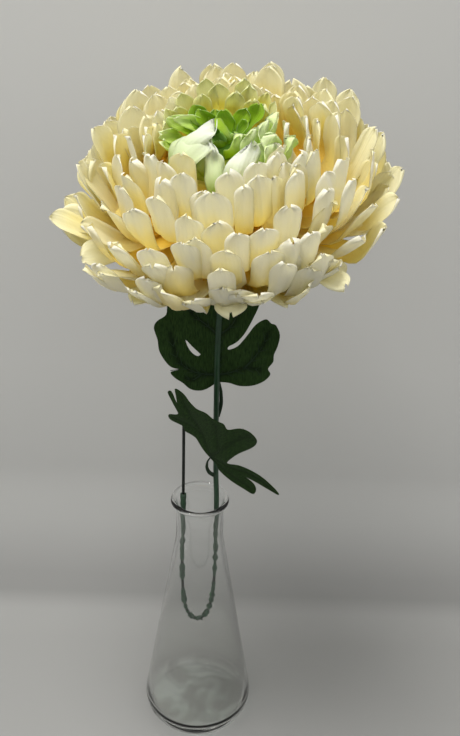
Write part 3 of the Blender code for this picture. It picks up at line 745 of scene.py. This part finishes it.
# Azimuth, tip radius and height, rise at the tip, width, and lean of the tip
PLACED_PETALS = (
    (-108, 56, 61, 90, 14, 0), (-90, 67, 59, 88, 17.5, 0), (-70, 61, 60, 90, 14.5, 1),
    (-79, 62, 57, 92, 10, 0), (-52, 65, 58, 90, 14.5, 0), (-64, 76, 50, 88, 14, 0),
    (-74, 80, 45, 84, 15.5, 2), (-84, 80, 44, 88, 13, 0), (-88, 85, 39, 86, 15, 0),
    (-90, 90, 31, 82, 13, 0), (-58, 86, 38, 84, 14, 0), (-102, 73, 50, 88, 14.5, 0),
    (-126, 76, 48, 76, 15, 4), (-128, 88, 33, 70, 15.5, 4), (-114, 86, 37, 76, 15.5, 3),
    (-66, 86, 37, 86, 14.5, 0), (-116, 67, 54, 86, 15, 0),
    (-56, 92, 26, 78, 15, 0), (-122, 50, 61, 90, 14, 0), (-68, 52, 61, 92, 14.5, 0),
    (-54, 51, 61, 92, 15, 0), (-113, 40, 61, 94, 14, 0), (-97, 58, 53, 90, 15, 0),
    (-138, 62, 54, 84, 15, 0), (-134, 47, 59, 92, 14, 0), (-100, 82, 41, 84, 14.5, 0),
    (-110, 88, 30, 76, 15, 0), (-70, 90, 29, 82, 14.5, 0),
    (-45, 76, 48, 86, 14.5, 0), (-43, 57, 59, 92, 14.5, 0),
    (-62, 58, 54, 92, 14, 0), (-118, 57, 56, 90, 14, 0), (-82, 54, 61, 90, 14.5, 0),
    (-92, 75, 48, 86, 15.5, 3), (-96, 80, 42, 88, 15, -3), (-75, 86, 35, 84, 16, 2),
    (-62, 91, 20, 74, 15, 0), (-107, 92, 19, 74, 16, -3),
    (-166, 96, 16, 42, 15, 0), (-171, 92, 11, 30, 16, 0), (-166, 76, 47, 80, 15, 0),
    (180, 64, 55, 82, 15, 0), (138, 93, 20, 70, 16, 0), (132, 88, 28, 74, 15.5, 0),
    (122, 85, 34, 80, 17, 0), (110, 77, 43, 86, 17, 0), (94, 76, 43, 88, 18, 0),
    (72, 78, 43, 88, 17, 0), (42, 78, 43, 84, 15, 0), (32, 84, 40, 78, 15, 0),
    (4, 85, 38, 72, 16, 0), (-4, 95, 24, 66, 16, 0), (-14, 95, 18, 50, 15, 0),
    (-50, 96, 1, 10, 16, 0), (-78, 92, 9, 36, 15, 0), (-88, 88, -1, 20, 16, 0),
    (-98, 91, 12, 50, 15, 0), (-122, 89, 0, 26, 15, 0), (-130, 93, 14, 40, 15, 0),
)
CREAM_ROOT = 31 * MM
CREAM_CORE = ((0, 27), (24.4, 27), (24.4, 33), (28, 32), (33, 25), (37, 13), (37, 3), (31, -7), (14, -12),
              (2.35, -12), (2.35, -2), (0, -2))
# Walls of air between the colours: radius at a height, and flare
CREAM_LIME_WALL = (25.0 * MM, 33 * MM, 0.30)
LIME_HEART_WALL = (12.2 * MM, 37 * MM, 0.42)
PLACED_CUP = 0.6
PLACED_LOOSE = 0.4


def cream_spine(tip, rise_tip):
    """The middle line of a cream petal: the higher its tip, the higher it grows."""
    share = tip.y / (58 * MM)
    root = Vector((CREAM_ROOT, (20 * max(0.0, share) ** 2.0 - 6) * MM))
    return spine_points(root, tip, math.radians(29 * share ** 3 - 14), rise_tip)


IVORY = (0.96, 0.955, 0.89)
GOLD = (0.97, 0.74, 0.13)
cream_outside = petal_material("cream_outside", GOLD, (0.98, 0.90, 0.51), IVORY, 0.60)
cream_inside = petal_material("cream_inside", (1.0, 0.79, 0.11), (1.0, 0.91, 0.40), (0.99, 0.95, 0.68), 0.58)
# Painted shade: the cut edge is darker than either face, to dim its lit rim
cream_shaded_edge = petal_material("cream_shaded_edge", GOLD, (0.74, 0.64, 0.32), (0.66, 0.61, 0.42), 0.36)
cream_hub = hub_material("cream_hub", (0.80, 0.54, 0.07), (0.92, 0.72, 0.18))
draw = random.Random(CREAM_DRAW)
bm = bmesh.new()
for ring in CREAM_RINGS:
    for azimuth, tip, rise_end, width, cup in ring_places(ring, draw, 1):
        add_petal(bm, cream_spine(tip, rise_end), azimuth, width, cup, draw, 1, ((CREAM_LIME_WALL, 1),))
for azimuth, tip_r, tip_h, rise_end, width, lean in PLACED_PETALS:
    spine = cream_spine(Vector((tip_r, tip_h)) * MM, math.radians(rise_end))
    add_petal(bm, spine, math.radians(azimuth), width * MM, PLACED_CUP, draw, PLACED_LOOSE,
              ((CREAM_LIME_WALL, 1),), lean * MM)
finish_bloom("cream_petals", bm, CREAM_CORE, "cream_cloth", "bloom_cream",
             cream_outside, cream_inside, cream_shaded_edge, cream_hub)


# Lime petals: two staggered rows of pale yellow-green cloth around the far side of the
# middle, on a disc in the cream bloom's hollow. Each: azimuth, tip radius, height, width.
LIME_PETALS = (
    (129, 31, 57, 12), (93, 31, 57, 12.5), (57, 31, 57, 12), (38, 32, 57, 11.5), (156, 31, 55, 12),
    (113, 26, 55, 11), (75, 26, 55, 11), (144, 27, 54, 10.5), (20, 32, 56, 11.5), (4, 31, 55, 11),
    (172, 29, 53, 11), (30, 26, 54, 10.5), (102, 32, 60, 11), (66, 32, 60, 11), (48, 26, 54, 10.5),
)
LIME_ROOT = (19.5, 33)
LIME_RISE = 61
LIME_TIP_RISE = 92
LIME_LOOSE = 0.3
LIME_CORE = ((0, 36.6), (12, 36.6), (20, 36.2), (24, 33), (24, 27.3), (0, 27.3))
lime_outside = petal_material("lime_outside", (0.76, 0.64, 0.05), (0.84, 0.80, 0.24), (0.86, 0.87, 0.54), 0.5)
lime_inside = petal_material("lime_inside", (0.76, 0.60, 0.03), (0.83, 0.76, 0.13), (0.86, 0.86, 0.47), 0.5)
lime_edge = petal_material("lime_edge", (0.68, 0.66, 0.16), (0.78, 0.80, 0.40), (0.84, 0.88, 0.66), 0.4)
lime_hub = hub_material("lime_hub", (0.36, 0.42, 0.03), (0.52, 0.56, 0.06))
bm = bmesh.new()
for azimuth, tip_r, tip_h, width in LIME_PETALS:
    tip = Vector((tip_r, tip_h)) * MM
    spine = spine_points(Vector(LIME_ROOT) * MM, tip, math.radians(LIME_RISE), math.radians(LIME_TIP_RISE))
    add_petal(bm, spine, math.radians(azimuth), width * MM, PLACED_CUP, draw, LIME_LOOSE,
              ((CREAM_LIME_WALL, -1), (LIME_HEART_WALL, 1)))
finish_bloom("lime_petals", bm, LIME_CORE, "lime_cloth", "bloom_lime",
             lime_outside, lime_inside, lime_edge, lime_hub)


# Heart: short green petals on a small button, mint ones to the left and, crumpled, to the
# right, and white folded ones at the near side. Each: azimuth, the four (radius, height)
# points of its middle line, width, half angle of the scoop, and lean of the tip.
HEART_DRAW = 4
GREEN_PETALS = (
    (136, (8, 40), (12, 45), (18, 49), (20, 55), 10.5, 0.8, 0),
    (122, (7, 40), (11, 45), (14, 49), (15, 54), 10, 0.8, 2),
    (96, (6, 41), (10, 45), (13, 48), (14, 52), 9.5, 0.7, 0),
    (70, (6, 41), (9, 45), (11, 49), (10, 54), 10.5, 0.8, 0),
    (46, (7, 40), (12, 44), (17, 47), (19, 52), 9.5, 0.7, 0),
    (26, (8, 40), (15, 44), (22, 48), (24, 56), 10.5, 0.8, 0),
    (2, (6, 40), (11, 44), (14, 49), (14, 54), 10, 0.8, 0),
    (150, (3, 42), (8, 58), (-4, 60), (-9, 47), 11, 0.8, 3),
    (-150, (6, 40), (10, 43), (12, 46), (10, 50), 8, 0.8, 0),
    (-90, (5, 41), (8, 43), (10, 45), (9, 48), 8, 0.8, 0),
    (-40, (5, 41), (9, 44), (11, 46), (9, 50), 8, 0.8, 0),
)
LEFT_PETALS = (
    (140, (8, 40), (14, 46), (19, 50), (21, 54), 9.5, 0.5, 12),
    (150, (12, 38), (18, 45), (23, 49), (26, 54), 10.5, 0.5, 10),
    (170, (18, 36), (26, 42), (29, 47), (29, 52), 11, 0.5, 9),
    (-165, (20, 35), (28, 41), (31, 46), (31, 52), 11, 0.5, 4),
)
MINT_PETALS = (
    (-61, (12, 38), (18, 44), (22, 51), (20, 56), 13, 0.6, 0),
    (-47, (16, 37), (24, 44), (28, 52), (23, 58), 14, 0.7, 3),
    (-31, (18, 36), (27, 43), (31, 52), (26, 59), 14, 0.7, 0),
    (-35, (24, 34), (34, 42), (39, 52), (35, 60), 15, 0.6, -2),
    (-39, (32, 31), (43, 39), (48, 50), (44, 59), 15, 0.6, 2),
    (-44, (30, 32), (40, 39), (43, 48), (37, 56), 15, 0.7, 0),
    (-54, (28, 33), (36, 40), (37, 48), (31, 55), 14, 0.7, 3),
    (-16, (20, 36), (29, 44), (32, 52), (27, 59), 13, 0.7, 0),
    (-124, (16, 38), (22, 43), (22, 50), (14, 55), 12, 0.7, 0),
)
WHITE_PETALS = (
    (-126, (36, 32), (43, 44), (36, 60), (13, 53), 17, 0.8, 3),
    (-136, (32, 34), (38, 46), (29, 61), (7, 56), 14, 0.7, 5),
    (-82, (38, 30), (44, 40), (40, 50), (28, 57), 16, 0.6, 14),
    (-93, (38, 28), (40, 37), (32, 46), (24, 52), 11, 0.7, 0),
    (-105, (24, 35), (28, 42), (26, 48), (18, 53), 13, 0.7, 0),
)
HEART_CORE = ((0, 44.5), (7, 43.5), (11, 40), (11, 36.9), (0, 36.9))


def petal_tuft(name, petals, loose, ruffle, *materials):
    """A piece of petals that are placed one by one in the middle of the bloom."""
    bm = bmesh.new()
    for azimuth, *points, width, cup, lean in petals:
        spine = [Vector(point) * MM for point in points]
        add_petal(bm, spine, math.radians(azimuth), width * MM, cup, draw, loose,
                  sway=lean * MM, ruffle=ruffle)
    tuft = petal_piece(name, bm, *materials)
    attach(tuft, "root")
    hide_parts("bloom_heart")


green = [petal_material("green_outside", (0.24, 0.42, 0.01), (0.36, 0.54, 0.03), (0.52, 0.68, 0.20), 0.5),
         petal_material("green_inside", (0.18, 0.36, 0.005), (0.30, 0.50, 0.01), (0.40, 0.60, 0.06), 0.6),
         petal_material("green_edge", (0.30, 0.50, 0.08), (0.45, 0.66, 0.20), (0.62, 0.78, 0.42), 0.4)]
mint = [petal_material("mint_outside", (0.52, 0.70, 0.04), (0.74, 0.89, 0.34), (0.88, 0.95, 0.64), 0.6),
        petal_material("mint_inside", (0.48, 0.66, 0.02), (0.70, 0.86, 0.24), (0.86, 0.94, 0.56), 0.6),
        petal_material("mint_edge", (0.40, 0.58, 0.10), (0.66, 0.82, 0.40), (0.84, 0.92, 0.70), 0.4)]
# The white petals' inner faces are painted darker and olive: painted shade in the hollows of their folds
white = [petal_material("white_outside", (0.48, 0.68, 0.10), (0.76, 0.84, 0.54), (0.88, 0.90, 0.82), 0.55),
         petal_material("white_inside_shaded", (0.36, 0.46, 0.06), (0.56, 0.64, 0.24), (0.78, 0.84, 0.60), 0.7),
         petal_material("white_edge", (0.60, 0.70, 0.30), (0.84, 0.86, 0.70), (0.90, 0.92, 0.86), 0.4)]
draw = random.Random(HEART_DRAW)
petal_tuft("green_petals", GREEN_PETALS, 0.3, 0.8, *green)
petal_tuft("left_petals", LEFT_PETALS, 0.3, 0.8, *mint)
petal_tuft("mint_petals", MINT_PETALS, 0.5, 2.2, *mint)
petal_tuft("white_petals", WHITE_PETALS, 0.2, 2.4, *white)
bm = bmesh.new()
turn(bm, [(radius * MM, height * MM) for radius, height in HEART_CORE], 48)
bmesh.ops.transform(bm, matrix=head, verts=bm.verts)
button = new_piece("heart_button", bm, hub_material("heart_button", (0.10, 0.24, 0.01), (0.20, 0.38, 0.04)))
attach(button, "root")
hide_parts("bloom_heart")


# Leaves: stiffened dark green cloth, stamped out to one lobed pattern, with a skeleton of
# ribs moulded on. The cloth dips to the ribs and swells between them. Drawn in the
# blade's own plane in mm from the end of its stalk (0, 0), the midrib up the second axis.
LEAF_CLOTH = 0.45 * MM
LEAF_CELL = 1.5
LEAF_REACH = 80
LEAF_SWELL = 0.9
LEAF_RIB_DIP = 4.5
RIB_SHADE = 1.5
RIB_BASE = 0.95 * MM
RIB_END = 0.22 * MM
RIB_STEP = 2.0
RIB_TAPER = 0.8
RIB_SIDE = 0.75
RIB_TWIG = 0.45
LEAF_DARK = (0.004, 0.015, 0.0025, 1)
LEAF_PALE = (0.029, 0.068, 0.013, 1)
# Painted shade: the cloth's colour is multiplied by this along the grooves at the ribs
NEAR_RIB_SHADE = (0.22, 0.28, 0.25, 1)
RIB_DARK = (0.004, 0.014, 0.006, 1)
RIB_PALE = (0.014, 0.036, 0.012, 1)
TWIG_GAP = 6.5
TWIG_LENGTH = 9
TWIG_EDGE = 1.5
UPPER_OUTLINE = (
    (0, -0.5), (7, -0.8), (14, -2.6), (22, -2), (29, 1), (33, 5.5), (31.5, 9),
    (34.5, 13.5), (34.8, 18), (37, 24), (38, 31), (35.5, 36.8), (32.5, 38), (29, 40.6), (23, 37),
    (17.5, 29.5), (12, 23), (6.5, 20.6), (6.3, 22.4), (11.5, 25.6), (16.5, 31.5), (21.5, 41.5),
    (25, 51), (24, 59), (19, 61), (15.5, 58), (14, 66), (8, 74), (1, 77), (-7, 73), (-12, 65),
    (-14, 58), (-20, 60), (-27, 56), (-32, 49), (-33, 41.5), (-38.5, 37.5), (-40.3, 33), (-38, 26),
    (-36.8, 19), (-33, 12.5), (-29, 8.6), (-24, 7), (-29.5, 5.5), (-27, 1.8), (-22, -1.5),
    (-17, -5.4), (-11, -6.2), (-6, -4.6),
)
UPPER_SLOT = ((-11, 16.8), (-16, 21.4), (-20.5, 26), (-19, 21.5), (-16.2, 17.6), (-12.8, 15.6))
UPPER_RIBS = (
    ((0, -2), (0.5, 20), (0, 45), (0, 72)),
    ((-1, 30), (-8, 36), (-16, 42), (-22, 51)),
    ((1, 30), (8, 36), (13.4, 47), (17, 56)),
    ((-0.5, 4), (-11, 4.5), (-19, 7.6), (-26, 15), (-30, 30)),
    ((0.5, 4), (8, 6), (17, 9), (27, 8)),
    ((16, 8.6), (22, 15), (28, 24), (31, 33)),
    ((-10, 4.4), (-15, 0.5), (-20, 1.5)),
)
UPPER_ORIGIN = (9.9, 9.0, 274.3)
UPPER_RISE = math.radians(72)
UPPER_PETIOLE = ((10.6, 7.6, 249), (12.4, 8.0, 258), (12.2, 8.4, 267))
PETIOLE = 1.35 * MM
LOWER_OUTLINE = (
    (0, -0.8), (6.5, -2), (11, -6.4), (18, -5.6), (29, -1.4), (36, 1.6), (36, 7.5), (33, 12),
    (28.5, 13), (23.5, 11.6), (33, 18), (39, 23), (46, 29.6), (38, 31), (31.5, 30.4), (24, 26.6),
    (16, 21.6), (10.5, 14), (10.4, 31), (13, 48), (13.6, 59), (11.5, 66), (6, 67.5), (0.5, 62),
    (-4, 50.4), (-8.3, 54), (-14, 50.4), (-20, 49.8), (-26, 43.5), (-32, 42.6), (-37.5, 44.2),
    (-43.5, 42.6), (-37, 31), (-44.2, 37.2), (-45.5, 33.6), (-40, 29), (-33.5, 23.5),
    (-32.7, 19), (-36.6, 10.5), (-34, 5.6), (-28, 8.2), (-25, 9), (-22, 5.6), (-18, 6.8),
    (-14, 7.4), (-9, 4.4), (-3.4, 1.4),
)
LOWER_RIBS = (
    ((0, -1), (2, 20), (4, 42), (7, 62)),
    ((1, 2), (10, 1), (20, 1.5), (32, 5)),
    ((3, 5), (14, 11), (26, 20), (41, 28)),
    ((0, 4), (-10, 14), (-22, 26), (-38, 40)),
    ((2, 18), (-6, 32), (-12, 47)),
    ((-12, 16), (-22, 16), (-32, 12)),
)
LOWER_ORIGIN = (6.1, -12.0, 231.4)
LOWER_MIDRIB = (0.289, -0.604, 0.743)
LOWER_ACROSS = (0.766, -0.318, -0.559)
LOWER_PETIOLE = ((8.8, 1.45, 207), (5.8, -3.0, 212.5), (4.4, -8.0, 220), (4.8, -11.2, 226.5))


def rib_distance(point, ribs):
    """Distance in the blade's plane from a point to the nearest rib."""
    nearest = LEAF_REACH
    for rib in ribs:
        for a, b in zip(rib, rib[1:]):
            run = b - a
            share = max(0.0, min(1.0, (point - a).dot(run) / run.length_squared))
            nearest = min(nearest, (point - a - run * share).length)
    return nearest


def inside_blade(point, outlines):
    """Whether a point lies in the cloth: an even-odd count over all its outlines."""
    crossings = 0
    for outline in outlines:
        for a, b in zip(outline, outline[1:] + outline[:1]):
            if (a.y > point.y) != (b.y > point.y):
                crossings += point.x < a.x + (b.x - a.x) * (point.y - a.y) / (b.y - a.y)
    return crossings % 2 == 1


def twigs(ribs, outlines, draw):
    """Short side ribs that leave each rib in pairs and stop before the cloth's edge."""
    grown = []
    for rib in ribs:
        length = sum((b - a).length for a, b in zip(rib, rib[1:]))
        step = max(1, round(TWIG_GAP / length * len(rib)))
        for i in range(step, len(rib) - 1, step):
            ahead = (rib[i + 1] - rib[i - 1]).normalized()
            for side in (-1, 1):
                turn_by = math.radians(draw.uniform(38, 52)) * side
                way = Vector((ahead.x * math.cos(turn_by) - ahead.y * math.sin(turn_by),
                              ahead.x * math.sin(turn_by) + ahead.y * math.cos(turn_by)))
                reach = 0
                while reach < TWIG_LENGTH and inside_blade(rib[i] + way * (reach + TWIG_EDGE), outlines):
                    reach += 1
                if reach > 2:
                    grown.append([rib[i] + (way * reach + ahead * reach * reach * 0.03) * share
                                  for share in (0, 0.35, 0.7, 1)])
    return grown


def make_leaf(name, node, outlines, ribs, wave, show, origin, right, up, petiole):
    """The waved cloth, and its stalk with the skeleton of ribs, as two pieces."""
    draw = random.Random(len(name))
    outlines = [eased(outline + outline[:1], 4)[:-1] for outline in outlines]
    ribs = [eased(rib, max(2, round((Vector(rib[-1]) - Vector(rib[0])).length / len(rib) / RIB_STEP)))
            for rib in ribs]
    stand = Matrix.Identity(4)
    for column, way in enumerate((right, up, right.cross(up), origin)):
        for row in range(3):
            stand[row][column] = way[row]

    def relief(point):
        swell = 1 - math.exp(-rib_distance(point, ribs) / LEAF_RIB_DIP)
        return wave(point.x, point.y) + LEAF_SWELL * swell

    bm = bmesh.new()
    for outline in outlines:
        verts = [bm.verts.new((point.x, point.y, 0)) for point in outline]
        for pair in zip(verts, verts[1:] + verts[:1]):
            bm.edges.new(pair)
    bmesh.ops.triangle_fill(bm, use_beauty=True, use_dissolve=False, edges=bm.edges[:])
    cells = round(LEAF_REACH / LEAF_CELL)
    for axis in (Vector((1, 0, 0)), Vector((0, 1, 0))):
        for step in range(-cells, cells):
            bmesh.ops.bisect_plane(bm, geom=bm.verts[:] + bm.edges[:] + bm.faces[:], dist=0.01,
                                   plane_co=axis * LEAF_CELL * step, plane_no=axis)
    uv = bm.loops.layers.uv.verify()
    near = bm.verts.layers.float.new("rib_groove_shade")
    for vert in bm.verts:
        flat = Vector((vert.co.x, vert.co.y))
        for loop in vert.link_loops:
            loop[uv].uv = flat / 10
        vert[near] = show * math.exp(-(rib_distance(flat, ribs) / RIB_SHADE) ** 2)
        vert.co = Vector((flat.x, flat.y, relief(flat))) * MM
    for face in bm.faces:
        if face.normal.z < 0:
            face.normal_flip()
    bmesh.ops.transform(bm, matrix=stand, verts=bm.verts)
    blade = new_piece(name + "_blade", bm, leaf_cloth)
    cloth = blade.modifiers.new("Cloth", "SOLIDIFY")
    cloth.thickness = LEAF_CLOTH
    cloth.offset = 0
    bm = bmesh.new()
    small = twigs(ribs, outlines, draw)
    sizes = [1] + [RIB_SIDE] * (len(ribs) - 1) + [RIB_TWIG] * len(small)
    for rib, size in zip(ribs + small, sizes):
        base = show * RIB_BASE * size
        route = [Vector((point.x, point.y, relief(point))) * MM for point in rib]
        if rib is ribs[0]:
            stalk = eased(petiole, 4)
            route = [stand.inverted() @ point for point in stalk] + route[2:]
        last = len(route) - 1
        radii = [max(RIB_END, base * (1 - RIB_TAPER * i / last)) for i in range(last + 1)]
        if rib is ribs[0]:
            radii[:len(stalk)] = [PETIOLE + (base - PETIOLE) * (i / len(stalk)) ** 2
                                  for i in range(len(stalk))]
        rod(bm, route, radii, sides=10)
    bmesh.ops.recalc_face_normals(bm, faces=bm.faces)
    bmesh.ops.transform(bm, matrix=stand, verts=bm.verts)
    skeleton = new_piece(name + "_ribs", bm, leaf_rib)
    for piece in (blade, skeleton):
        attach(piece, "root")
        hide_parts(node)


leaf_cloth, tree, shader = new_material("leaf_cloth", roughness=0.7, specular=0.12)
uv_map = tree.nodes.new("ShaderNodeUVMap")
threads = tree.nodes.new("ShaderNodeTexWave")
threads.bands_direction = "X"
threads.inputs["Scale"].default_value = 7
threads.inputs["Distortion"].default_value = 2.5
threads.inputs["Detail"].default_value = 3
threads.inputs["Detail Scale"].default_value = 3
tree.links.new(uv_map.outputs["UV"], threads.inputs["Vector"])
stretch = tree.nodes.new("ShaderNodeMapping")
stretch.inputs["Scale"].default_value = (9, 1.6, 1)
tree.links.new(uv_map.outputs["UV"], stretch.inputs["Vector"])
flecks = noise_node(tree, stretch.outputs["Vector"], 1.4, 5)
flecks.inputs["Roughness"].default_value = 0.65
tones = tones_node(tree, flecks.outputs["Fac"], LEAF_DARK, LEAF_PALE, 0.3, 0.75)
# Painted shade: the cloth is darkened along the ribs, where it dips into grooves
rib_groove_shade = tree.nodes.new("ShaderNodeAttribute")
rib_groove_shade.attribute_name = "rib_groove_shade"
darker = mix_node(tree, rib_groove_shade.outputs["Fac"], tones, NEAR_RIB_SHADE, "MULTIPLY")
tree.links.new(darker, shader.inputs["Base Color"])
add_bump(tree, shader, threads.outputs["Fac"], 0.4, 0.3 * MM)
leaf_rib, tree, shader = new_material("leaf_rib", roughness=0.6, specular=0.2)
place = tree.nodes.new("ShaderNodeTexCoord").outputs["Object"]
patches = noise_node(tree, place, 240, 2).outputs["Fac"]
tree.links.new(tones_node(tree, patches, RIB_DARK, RIB_PALE), shader.inputs["Base Color"])


def upper_wave(right, up):
    return 0.0016 * right ** 2 + 1.2 * math.sin(right * 0.16) * math.sin(up * 0.10)


def lower_wave(right, up):
    return 1.3 * math.sin(right * 0.14 + 0.6) * math.sin(up * 0.09)


upper_up = Vector((0, math.cos(UPPER_RISE), math.sin(UPPER_RISE)))
make_leaf("upper_leaf", "leaf_upper", (UPPER_OUTLINE, UPPER_SLOT), UPPER_RIBS, upper_wave, 1,
          Vector(UPPER_ORIGIN) * MM, Vector((1, 0, 0)), upper_up, [Vector(p) * MM for p in UPPER_PETIOLE])
lower_up = Vector(LOWER_MIDRIB).normalized()
lower_right = Vector(LOWER_ACROSS)
lower_right = (lower_right - lower_up * lower_right.dot(lower_up)).normalized()
make_leaf("lower_leaf", "leaf_lower", (LOWER_OUTLINE,), LOWER_RIBS, lower_wave, 0.5,
          Vector(LOWER_ORIGIN) * MM, lower_right, lower_up, [Vector(p) * MM for p in LOWER_PETIOLE])
